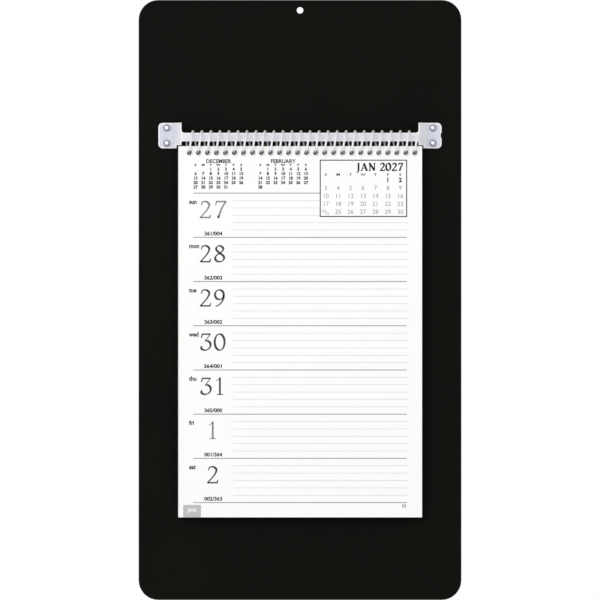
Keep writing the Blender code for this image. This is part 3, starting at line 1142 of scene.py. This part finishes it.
@dataclass
class Pad:
    """The punched week leaves, the blocks of leaves behind them and the stiff backing."""

    blocks = ("leaf_block_front", "leaf_block_middle", "leaf_block_back")
    block_leaves: int = 16
    slit_share: float = 0.1
    spread: float = 0.08 * MM
    trim: float = 0.45 * MM
    hole: float = 3.8 * MM
    front_hole: float = 4.6 * MM
    hole_sides: int = 20
    punch_drift: tuple[Point, ...] = (
        (-0.2 * MM, 0.4 * MM),
        (-0.35 * MM, 0.8 * MM),
        (-0.5 * MM, 1.2 * MM),
    )
    hole_count: int = 26
    first_hole_margin: float = 7.9 * MM
    punch_margin: float = 4.8 * MM
    punch_reach: float = 4.0
    smooth_below: float = 30
    seed: int = 53
    paper: Paper = Paper()
    chipboard: Chipboard = Chipboard()

    def sheet(self, name: str, node: str, hole: float, thickness: float | None = None,
              drift: Point = (0, 0)) -> bpy.types.Object:
        """Trims one sheet to a hair within a node's box and punches its row of holes.

        Args:
            name: the sheet's name.
            node: the node whose place it takes.
            hole: how wide its holes are.
            thickness: its own thickness, where that isn't the node's.
            drift: how far aside and higher the punch struck.

        Returns:
            The punched sheet.
        """
        low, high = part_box(node)
        if thickness:
            high.y = low.y + thickness
        trim = Vector((self.trim, 0, self.trim))
        sheet = Bench.slab(name, low + trim, high - trim)
        aside, higher = drift
        spot = (
            low.x + self.first_hole_margin + aside,
            (low.y + high.y) / 2,
            high.z - self.trim - self.punch_margin + higher,
        )
        bpy.ops.mesh.primitive_cylinder_add(
            vertices=self.hole_sides, radius=hole / 2, depth=self.punch_reach * (high.y - low.y),
            location=spot, rotation=FACING_FRONT,
        )
        punch = Bench.added("punch")
        Bench.settle(punch)
        Bench.modify(punch, "ARRAY", count=self.hole_count, use_relative_offset=False,
                     use_constant_offset=True, constant_offset_displace=(HOLE_PITCH, 0, 0))
        Bench.modify(sheet, "BOOLEAN", operation="DIFFERENCE", object=punch, solver="EXACT")
        Bench.drop(punch)
        Bench.smooth(sheet, self.smooth_below)
        return sheet

    def dress_leaves(self, material: bpy.types.Material) -> None:
        """Models the front leaf, whose holes are worn wide, and copies the next one to the rest."""
        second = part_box("week_leaf_2")[0]
        leaves = [
            self.sheet("paper_leaf_1", "week_leaf_1", self.front_hole),
            self.sheet("paper_leaf_2", "week_leaf_2", self.hole),
        ]
        for i in range(3, LOOSE_LEAVES + 1):
            leaves.append(Bench.copy(leaves[1], f"paper_leaf_{i}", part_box(f"week_leaf_{i}")[0] - second))
        for i, leaf in enumerate(leaves, 1):
            fit(leaf, f"leaf_{i}", self.paper, material, f"week_leaf_{i}")

    def dress_blocks(self, material: bpy.types.Material) -> None:
        """Stacks each block from single sheets that lie a hair out of line."""
        draw = random.Random(self.seed)
        for node, drift in zip(self.blocks, self.punch_drift):
            low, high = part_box(node)
            pitch = (high.y - low.y) / self.block_leaves
            pattern = self.sheet("pattern", node, self.hole, pitch * (1 - self.slit_share), drift)
            sheets = []
            for i in range(self.block_leaves):
                aside = draw.uniform(-self.spread, self.spread)
                down = draw.uniform(-self.spread, self.spread)
                sheets.append(Bench.copy(pattern, f"sheet_{i}", Vector((aside, i * pitch, down))))
            Bench.drop(pattern)
            fit(Bench.join(f"paper_{node}", sheets), "pad", self.paper, material, node)

    def dress(self) -> None:
        """Builds and fastens all that the coil holds."""
        material = self.paper.material()
        self.dress_leaves(material)
        self.dress_blocks(material)
        backing = self.sheet("chipboard_backing", "pad_backing", self.hole, None, self.punch_drift[-1])
        fit(backing, "pad", self.chipboard, self.chipboard.material(), "pad_backing")

    def first_hole(self) -> float:
        """Gives the first hole's place along X, in a leaf midway through the pad's lean."""
        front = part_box("week_leaf_1")
        return -(front[1].x - front[0].x) / 2 + self.first_hole_margin


class Tone(Enum):
    """The greys that the leaves are printed in."""

    BLACK = screen(22, 22, 22)
    DARK = screen(64, 64, 64)
    MID = screen(134, 134, 134)
    SOFT = screen(186, 186, 186)
    FAINT = screen(206, 206, 206)
    BLANK = screen(249, 249, 248)


@dataclass(frozen=True)
class Stroke:
    """One pull of a broad nib: its middle line, in units of the figure's height, and its weight."""

    points: tuple[Point, ...]
    weight: float = 1.0

    def closed(self) -> bool:
        """Tells whether the stroke ends where it starts."""
        return len(self.points) > 2 and self.points[0] == self.points[-1]

    def samples(self, steps: int) -> list[Vector]:
        """Runs a smooth curve through the points.

        Args:
            steps: how many steps each span has.

        Returns:
            The points of the curve.
        """
        spots = [Vector(point) for point in self.points]
        if len(spots) == 2:
            return spots
        before, after = (spots[-2], spots[1]) if self.closed() else (spots[0], spots[-1])
        run = [before, *spots, after]
        curve = []
        for a, b, c, d in zip(run, run[1:], run[2:], run[3:]):
            for i in range(steps):
                t = i / steps
                bend = (2 * a - 5 * b + 4 * c - d) * t**2 + (3 * b - a - 3 * c + d) * t**3
                curve.append(b + ((c - a) * t + bend) / 2)
        return [*curve, spots[-1]]


def oval(x: float, z: float, across: float, up: float, corners: int = 12) -> Stroke:
    """Draws a closed oval.

    Args:
        x: its middle across.
        z: its middle up.
        across: its half width.
        up: its half height.
        corners: how many points it has.

    Returns:
        The stroke.
    """
    turns = [math.tau * i / corners for i in range(corners)]
    points = [(x + across * math.cos(turn), z + up * math.sin(turn)) for turn in turns]
    return Stroke((*points, points[0]))


@dataclass(frozen=True)
class Figure:
    """A figure or capital: its width and its strokes, in units of its height."""

    width: float
    strokes: tuple[Stroke, ...]


THIN = 0.62
FIGURES = {
    "0": Figure(0.68, (oval(0.34, 0.5, 0.282, 0.462),)),
    "1": Figure(0.66, (
        Stroke(((0.13, 0.81), (0.27, 0.90), (0.375, 1.02)), THIN),
        Stroke(((0.345, 1.0), (0.345, 0.03)), 0.9),
        Stroke(((0.16, 0.03), (0.53, 0.03)), THIN),
    )),
    "2": Figure(0.66, (
        Stroke(((0.10, 0.74), (0.17, 0.95)), THIN),
        Stroke(((0.14, 0.91), (0.26, 0.955), (0.41, 0.94), (0.54, 0.83), (0.54, 0.68), (0.42, 0.46),
                (0.24, 0.25), (0.06, 0.05))),
        Stroke(((0.02, 0.04), (0.61, 0.04))),
        Stroke(((0.59, 0.02), (0.63, 0.21)), THIN),
    )),
    "3": Figure(0.66, (
        Stroke(((0.10, 0.74), (0.17, 0.97)), THIN),
        Stroke(((0.14, 0.955), (0.64, 0.955))),
        Stroke(((0.63, 0.95), (0.33, 0.57)), THIN),
        Stroke(((0.32, 0.565), (0.47, 0.57), (0.61, 0.46), (0.635, 0.29), (0.53, 0.11), (0.35, 0.04),
                (0.18, 0.07), (0.10, 0.17), (0.14, 0.27))),
    )),
    "4": Figure(0.68, (
        Stroke(((0.46, 0.97), (0.03, 0.30)), THIN),
        Stroke(((0.01, 0.29), (0.67, 0.29))),
        Stroke(((0.49, 0.99), (0.49, 0.0))),
    )),
    "5": Figure(0.62, (
        Stroke(((0.14, 0.955), (0.57, 0.955))),
        Stroke(((0.56, 0.94), (0.60, 1.03)), THIN),
        Stroke(((0.17, 0.96), (0.10, 0.55)), THIN),
        Stroke(((0.10, 0.55), (0.27, 0.605), (0.46, 0.55), (0.56, 0.37), (0.52, 0.18), (0.36, 0.05),
                (0.18, 0.04), (0.05, 0.12))),
    )),
    "6": Figure(0.66, (
        oval(0.345, 0.315, 0.25, 0.275),
        Stroke(((0.095, 0.33), (0.11, 0.52), (0.22, 0.75), (0.38, 0.91), (0.56, 0.985))),
    )),
    "7": Figure(0.67, (
        Stroke(((0.10, 0.74), (0.16, 0.97)), THIN),
        Stroke(((0.14, 0.955), (0.69, 0.955))),
        Stroke(((0.70, 0.965), (0.52, 0.68), (0.38, 0.38), (0.27, 0.02))),
        Stroke(((0.28, 0.16), (0.24, 0.0))),
    )),
    "8": Figure(0.66, (
        Stroke(((0.51, 0.85), (0.34, 0.955), (0.16, 0.88), (0.14, 0.73), (0.31, 0.55), (0.53, 0.39),
                (0.585, 0.22), (0.48, 0.08), (0.32, 0.04), (0.14, 0.10), (0.075, 0.25), (0.17, 0.42),
                (0.35, 0.53), (0.49, 0.66), (0.535, 0.76), (0.51, 0.85))),
    )),
    "9": Figure(0.66, (
        oval(0.315, 0.685, 0.25, 0.275),
        Stroke(((0.565, 0.67), (0.55, 0.48), (0.44, 0.25), (0.28, 0.09), (0.10, 0.015))),
    )),
    "J": Figure(0.40, (
        Stroke(((0.25, 0.96), (0.25, 0.12), (0.18, -0.12), (0.02, -0.24))),
        Stroke(((0.10, 0.965), (0.40, 0.965)), THIN),
    )),
    "A": Figure(0.96, (
        Stroke(((0.15, 0.03), (0.47, 0.97)), THIN),
        Stroke(((0.45, 0.98), (0.82, 0.03))),
        Stroke(((0.25, 0.34), (0.68, 0.34)), THIN),
        Stroke(((0.01, 0.03), (0.30, 0.03)), THIN),
        Stroke(((0.66, 0.03), (0.96, 0.03)), THIN),
    )),
    "N": Figure(0.90, (
        Stroke(((0.16, 0.97), (0.16, 0.03)), THIN),
        Stroke(((0.12, 0.98), (0.75, 0.03))),
        Stroke(((0.75, 0.97), (0.75, 0.03)), THIN),
        Stroke(((0.0, 0.965), (0.24, 0.965)), THIN),
        Stroke(((0.02, 0.03), (0.31, 0.03)), THIN),
        Stroke(((0.60, 0.965), (0.90, 0.965)), THIN),
    )),
    " ": Figure(0.34, ()),
}


@dataclass(frozen=True)
class Nib:
    """A broad nib held at an angle, which draws thick one way and thin the other."""

    thick: float
    thin: float
    angle: float = math.radians(28)
    steps: int = 6

    def ribbon(self, stroke: Stroke) -> tuple[list[tuple], list[tuple]]:
        """Widens a stroke's middle line into a flat ribbon that faces the front.

        Args:
            stroke: the stroke to draw.

        Returns:
            The ribbon's points, left and right in turn, and its faces.
        """
        line = stroke.samples(self.steps)
        ahead = [b - a for a, b in zip(line, line[1:])]
        ways = [ahead[0], *[a.normalized() + b.normalized() for a, b in zip(ahead, ahead[1:])], ahead[-1]]
        if stroke.closed():
            ways[0] = ways[-1] = ahead[0].normalized() + ahead[-1].normalized()
        points = []
        for spot, way in zip(line, ways):
            turn = math.atan2(way.y, way.x) - self.angle
            half = math.hypot(self.thick * math.sin(turn), self.thin * math.cos(turn)) * stroke.weight / 2
            aside = Vector((-way.y, way.x)).normalized() * half
            points += [(side.x, 0, side.y) for side in (spot + aside, spot - aside)]
        faces = [(2 * i, 2 * i + 1, 2 * i + 3, 2 * i + 2) for i in range(len(line) - 1)]
        return points, faces

    def draw(self, sign: str) -> bpy.types.Mesh:
        """Draws a figure, one unit high, as a flat mesh."""
        points: list[tuple] = []
        faces: list[tuple] = []
        for stroke in FIGURES[sign].strokes:
            more, quads = self.ribbon(stroke)
            faces += [tuple(corner + len(points) for corner in quad) for quad in quads]
            points += more
        mesh = bpy.data.meshes.new(f"figure_{sign}")
        mesh.from_pydata(points, [], faces)
        return mesh


class Align(Enum):
    """Where a word stands on its place."""

    LEFT = "LEFT"
    CENTER = "CENTER"


@dataclass
class Layer:
    """Flat ink of every tone, laid out from a page's upper left corner."""

    corner: Vector
    parts: dict[Tone, list[bpy.types.Object]] = field(default_factory=lambda: {tone: [] for tone in Tone})
    cap_share: float = 0.682
    curve_steps: int = 3

    def spot(self, x: float, y: float) -> Vector:
        """Gives the place at a distance across and down from the page's corner."""
        return self.corner + Vector((x, 0, -y))

    def words(self, text: str, x: float, y: float, cap: float, tone: Tone, align: Align = Align.CENTER,
              width: float = 0, bold: float = 0, stretch: float = 1) -> None:
        """Sets a word in plain letters.

        Args:
            text: the word.
            x: its place across.
            y: its base line's place down.
            cap: the height of its capitals.
            tone: its tone.
            align: where it stands on its place.
            width: the width that it is fitted to, or 0 for its own.
            bold: how much wider its strokes are, as a share of the type's size.
            stretch: how much wider its letters are than the type's own.
        """
        bpy.ops.object.text_add(location=self.spot(x, y), rotation=FACING_FRONT)
        word = bpy.context.object
        word.data.body = text
        word.data.size = cap / self.cap_share
        word.data.align_x = align.value
        word.data.offset = bold * word.data.size
        word.data.resolution_u = self.curve_steps
        word.scale.x = stretch
        if width:
            bpy.context.view_layer.update()
            word.scale.x = width / word.dimensions.x
        self.parts[tone].append(word)

    def figures(self, text: str, middle: float, top: float, height: float, tone: Tone, nib: Nib,
                gap: float) -> None:
        """Sets a number in broad-nib figures.

        Args:
            text: the number.
            middle: its middle's place across.
            top: its top's place down.
            height: the figures' height.
            tone: its tone.
            nib: the nib that draws it.
            gap: the space between figures, in units of their height.
        """
        widths = [FIGURES[sign].width for sign in text]
        x = middle - height * (sum(widths) + gap * (len(text) - 1)) / 2
        for sign, width in zip(text, widths):
            mesh = nib.draw(sign)
            mesh.transform(Matrix.Translation(self.spot(x, top + height)) @ Matrix.Scale(height, 4))
            part = bpy.data.objects.new(mesh.name, mesh)
            bpy.context.scene.collection.objects.link(part)
            self.parts[tone].append(part)
            x += height * (width + gap)

    def bar(self, left: float, right: float, top: float, bottom: float, tone: Tone) -> None:
        """Prints a plain bar between two places across and two places down."""
        middle = self.spot((left + right) / 2, (top + bottom) / 2)
        bpy.ops.mesh.primitive_plane_add(size=1, location=middle, rotation=FACING_FRONT)
        part = bpy.context.object
        part.scale = (right - left, bottom - top, 1)
        self.parts[tone].append(part)

    def rule(self, left: float, right: float, y: float, thickness: float, tone: Tone) -> None:
        """Prints a level rule."""
        self.bar(left, right, y - thickness / 2, y + thickness / 2, tone)

    def flatten(self) -> dict[Tone, bpy.types.Object]:
        """Turns the layer into one flat mesh for each tone that it uses."""
        flat = {}
        for tone, parts in self.parts.items():
            letters = [part for part in parts if part.type == "FONT"]
            if letters:
                Bench.use(*letters)
                bpy.ops.object.convert(target="MESH")
            if parts:
                Bench.settle(*parts)
                flat[tone] = Bench.join(f"ink_{tone.name.lower()}", parts)
        return flat


@dataclass
class WeekPrint:
    """What is printed on the week leaves: ruled days, dates and small months."""

    first_sunday: date = date(2026, 12, 27)
    month: date = date(2027, 1, 1)
    month_step: timedelta = timedelta(days=31)
    month_rows: int = 6
    lift: float = 0.004 * MM
    overprint: float = 0.02 * MM
    register: float = -0.42 * MM
    ink: float = 0.012 * MM
    margin: float = 10.7 * MM
    edge: float = 159.6 * MM
    writing_edge: float = 160.4 * MM
    box_right: float = 159.45 * MM
    first_rule: float = 33.18 * MM
    day_pitch: float = 30.815 * MM
    rule_thickness: float = 0.57 * MM
    writing_left: float = 38.4 * MM
    writing_pitch: float = 5.14 * MM
    writing_lines: int = 5
    writing_thickness: float = 0.34 * MM
    box_left: float = 99.2 * MM
    box_top: float = 10.2 * MM
    box_bottom: float = 49.45 * MM
    box_line: float = 0.7 * MM
    heading_middle: float = 140.65 * MM
    heading_top: float = 12.2 * MM
    heading_height: float = 5.4 * MM
    heading_gap: float = 0.1
    box_letters: Point = (103.05 * MM, 21.15 * MM)
    box_column: float = 8.66 * MM
    box_dates: float = 25.4 * MM
    box_row: float = 5.55 * MM
    box_rows: int = 5
    box_letter_cap: float = 1.8 * MM
    box_cap: float = 3.0 * MM
    box_bold: float = 0.04
    paired_cap: float = 2.0 * MM
    paired_shift: float = 1.2 * MM
    paired_up: float = 1.0 * MM
    paired_down: float = 0.9 * MM
    small_months: tuple[Point, ...] = ((12.3 * MM, 28.3 * MM), (57.4 * MM, 73.3 * MM))
    small_column: float = 5.3 * MM
    small_row: float = 3.13 * MM
    small_title: float = 12.1 * MM
    small_title_cap: float = 2.5 * MM
    small_title_width: float = 17.4 * MM
    small_letters: float = 14.2 * MM
    small_letter_cap: float = 1.4 * MM
    small_dates: float = 17.4 * MM
    small_cap: float = 2.0 * MM
    small_bold: float = 0.05
    title_bold: float = 0.03
    letter_stretch: float = 1.35
    letter_bold: float = 0.017
    day_name: Point = (7.8 * MM, 7.45 * MM)
    day_cap: float = 3.0 * MM
    day_bold: float = 0.035
    day_stretch: float = 0.89
    number_middle: float = 24.1 * MM
    number_gap: float = 0.16
    number_drop: float = 5.3 * MM
    number_height: float = 12.15 * MM
    count_middle: float = 24.65 * MM
    count_drop: float = 29.4 * MM
    count_cap: float = 2.5 * MM
    count_width: float = 12.5 * MM
    count_bold: float = 0.036
    index_tab: tuple[float, ...] = (3.7 * MM, 16.1 * MM, 250.5 * MM, 259.1 * MM)
    index_base: float = 255.4 * MM
    index_cap: float = 2.45 * MM
    week_number: Point = (157.7 * MM, 252.2 * MM)
    week_number_cap: float = 2.0 * MM
    number_nib: Nib = Nib(0.134, 0.066)
    heading_nib: Nib = Nib(0.26, 0.122)

    def days(self, start: date) -> list[date]:
        """Gives the seven days from a day on."""
        return [start + timedelta(days=i) for i in range(WEEK)]

    def weeks(self, month: date) -> list[list[date]]:
        """Gives a month's days, week by week from Sunday."""
        start = month - timedelta(days=self.column(month))
        rows = [self.days(start + timedelta(weeks=i)) for i in range(self.month_rows)]
        return [[day for day in row if day.month == month.month] for row in rows]

    def column(self, day: date) -> int:
        """Gives a day's column, counted from Sunday."""
        return day.isoweekday() % WEEK

    def small_month(self, layer: Layer, month: date, left: float, middle: float) -> None:
        """Sets a small month.

        Args:
            layer: the layer to print on.
            month: the month's first day.
            left: the middle of its first column.
            middle: the middle of its title.
        """
        layer.words(f"{month:%B}".upper(), middle, self.small_title, self.small_title_cap, Tone.BLACK,
                    width=self.small_title_width, bold=self.title_bold)
        for i, day in enumerate(self.days(self.first_sunday)):
            x = left + i * self.small_column
            layer.words(f"{day:%a}"[0], x, self.small_letters, self.small_letter_cap, Tone.BLACK,
                        bold=self.small_bold, stretch=self.letter_stretch)
        for row, week in enumerate(self.weeks(month)):
            for day in week:
                x = left + self.column(day) * self.small_column
                y = self.small_dates + row * self.small_row
                layer.words(str(day.day), x, y, self.small_cap, Tone.BLACK, bold=self.small_bold)

    def rules(self, layer: Layer) -> None:
        """Rules the days and their writing lines, clear of the month's box."""
        for day in range(WEEK + 1):
            y = self.first_rule + day * self.day_pitch
            right = self.box_left if y < self.box_bottom else self.edge
            layer.rule(self.margin, right, y, self.rule_thickness, Tone.MID)
        for day, line in product(range(WEEK), range(1, self.writing_lines + 1)):
            y = self.first_rule + day * self.day_pitch + line * self.writing_pitch
            right = self.box_left if y < self.box_bottom else self.writing_edge
            layer.rule(self.writing_left, right, y, self.writing_thickness, Tone.FAINT)

    def month_box(self, layer: Layer) -> None:
        """Frames the month's box with its heading and weekday letters."""
        half = self.box_line / 2
        for y in (self.box_top, self.box_bottom):
            layer.rule(self.box_left - half, self.box_right + half, y, self.box_line, Tone.BLACK)
        for x in (self.box_left, self.box_right):
            layer.bar(x - half, x + half, self.box_top, self.box_bottom, Tone.BLACK)
        heading = f"{self.month:%b %Y}".upper()
        layer.figures(heading, self.heading_middle, self.heading_top, self.heading_height, Tone.BLACK,
                      self.heading_nib, self.heading_gap)
        left, base = self.box_letters
        for i, day in enumerate(self.days(self.first_sunday)):
            layer.words(f"{day:%a}"[0], left + i * self.box_column, base, self.box_letter_cap, Tone.BLACK,
                        bold=self.letter_bold, stretch=self.letter_stretch)

    def common(self, corner: Vector) -> dict[Tone, bpy.types.Object]:
        """Lays out what every leaf of the month has.

        Args:
            corner: the front page's upper left corner.

        Returns:
            The flat ink of each tone.
        """
        layer = Layer(corner)
        self.rules(layer)
        self.month_box(layer)
        months = (self.month - self.month_step, self.month + self.month_step)
        for month, (left, middle) in zip(months, self.small_months):
            self.small_month(layer, month, left, middle)
        x, base = self.day_name
        for i, day in enumerate(self.days(self.first_sunday)):
            y = self.first_rule + i * self.day_pitch + base
            layer.words(f"{day:%a}".lower(), x, y, self.day_cap, Tone.BLACK, Align.LEFT, bold=self.day_bold,
                        stretch=self.day_stretch)
        layer.bar(*self.index_tab, Tone.SOFT)
        middle = (self.index_tab[0] + self.index_tab[1]) / 2
        layer.words(f"{self.month:%b}".upper(), middle, self.index_base, self.index_cap, Tone.BLANK,
                    bold=self.day_bold)
        return layer.flatten()

    def dated(self, corner: Vector, sunday: date) -> dict[Tone, bpy.types.Object]:
        """Lays out what changes from week to week.

        Args:
            corner: the page's upper left corner.
            sunday: the week's first day.

        Returns:
            The flat ink of each tone.
        """
        layer = Layer(corner)
        week = self.days(sunday)
        for i, day in enumerate(week):
            y = self.first_rule + i * self.day_pitch
            resting = i == 0 or day == self.month
            tone = Tone.MID if resting else Tone.DARK
            layer.figures(str(day.day), self.number_middle, y + self.number_drop, self.number_height, tone,
                          self.number_nib, self.number_gap)
            past = day.timetuple().tm_yday
            left = (date(day.year, 12, 31) - day).days
            layer.words(f"{past:03d}/{left:03d}", self.count_middle, y + self.count_drop, self.count_cap,
                        Tone.BLACK, width=self.count_width, bold=self.count_bold)
        for row, days in enumerate(self.weeks(self.month)[:self.box_rows]):
            for day in days:
                self.box_date(layer, day, row, day in week)
        number = week[WEEK // 2].isocalendar().week
        layer.words(str(number), *self.week_number, self.week_number_cap, Tone.MID, bold=self.count_bold)
        return layer.flatten()

    def box_date(self, layer: Layer, day: date, row: int, current: bool) -> None:
        """Sets one date in the month's box, dark if it is in the leaf's own week.

        Args:
            layer: the layer to print on.
            day: the date.
            row: its row in the box.
            current: whether the leaf is its week's.
        """
        x = self.box_letters[0] + self.column(day) * self.box_column
        y = self.box_dates + row * self.box_row
        tone = Tone.BLACK if current else Tone.MID
        bold = self.box_bold if current else 0
        later = day + timedelta(weeks=1)
        if row == self.box_rows - 1 and later.month == day.month:
            shift = self.paired_shift
            layer.words(str(day.day), x - shift, y - self.paired_up, self.paired_cap, tone, bold=bold)
            layer.words(str(later.day), x + shift, y + self.paired_down, self.paired_cap, tone)
        else:
            layer.words(str(day.day), x, y, self.box_cap, tone, bold=bold)

    def dress(self) -> None:
        """Prints every loose leaf."""
        paints = {tone: PrintedInk(colour=tone.value) for tone in Tone}
        materials = {tone: paint.material() for tone, paint in paints.items()}
        corners = []
        for i in range(1, LOOSE_LEAVES + 1):
            low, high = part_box(f"week_leaf_{i}")
            corners.append(Vector((low.x + self.register, low.y - self.lift, high.z)))
        common = self.common(corners[0])
        for i, corner in enumerate(corners):
            dated = self.dated(corner, self.first_sunday + timedelta(weeks=i))
            for tone in Tone:
                parts = [dated[tone]] if tone in dated else []
                if tone in common:
                    parts.append(Bench.copy(common[tone], "ink", corner - corners[0]))
                if parts:
                    ink = Bench.join(f"print_{i + 1}_{tone.name.lower()}", parts)
                    if tone is Tone.BLANK:
                        ink.data.transform(Matrix.Translation((0, -self.overprint, 0)))
                    Bench.modify(ink, "SOLIDIFY", thickness=self.ink, offset=1)
                    fit(ink, f"leaf_{i + 1}", paints[tone], materials[tone])
        Bench.drop(*common.values())


def coil_axis() -> Vector:
    """Gives a point on the axis that the leaves turn about."""
    turn = next(joint for joint in frame["joints"] if joint["name"] == "leaf_1_turn")
    return Vector(turn["pos_m"])


def main() -> None:
    """Builds every piece in order."""
    logging.basicConfig(level=logging.INFO, format="%(message)s")
    Studio().set_up()
    Board().dress()
    Strap().dress()
    Rivets().dress()
    pad = Pad()
    pad.dress()
    WeekPrint().dress()
    Coil().dress(coil_axis(), pad.first_hole())


if __name__ == "__main__":
    main()
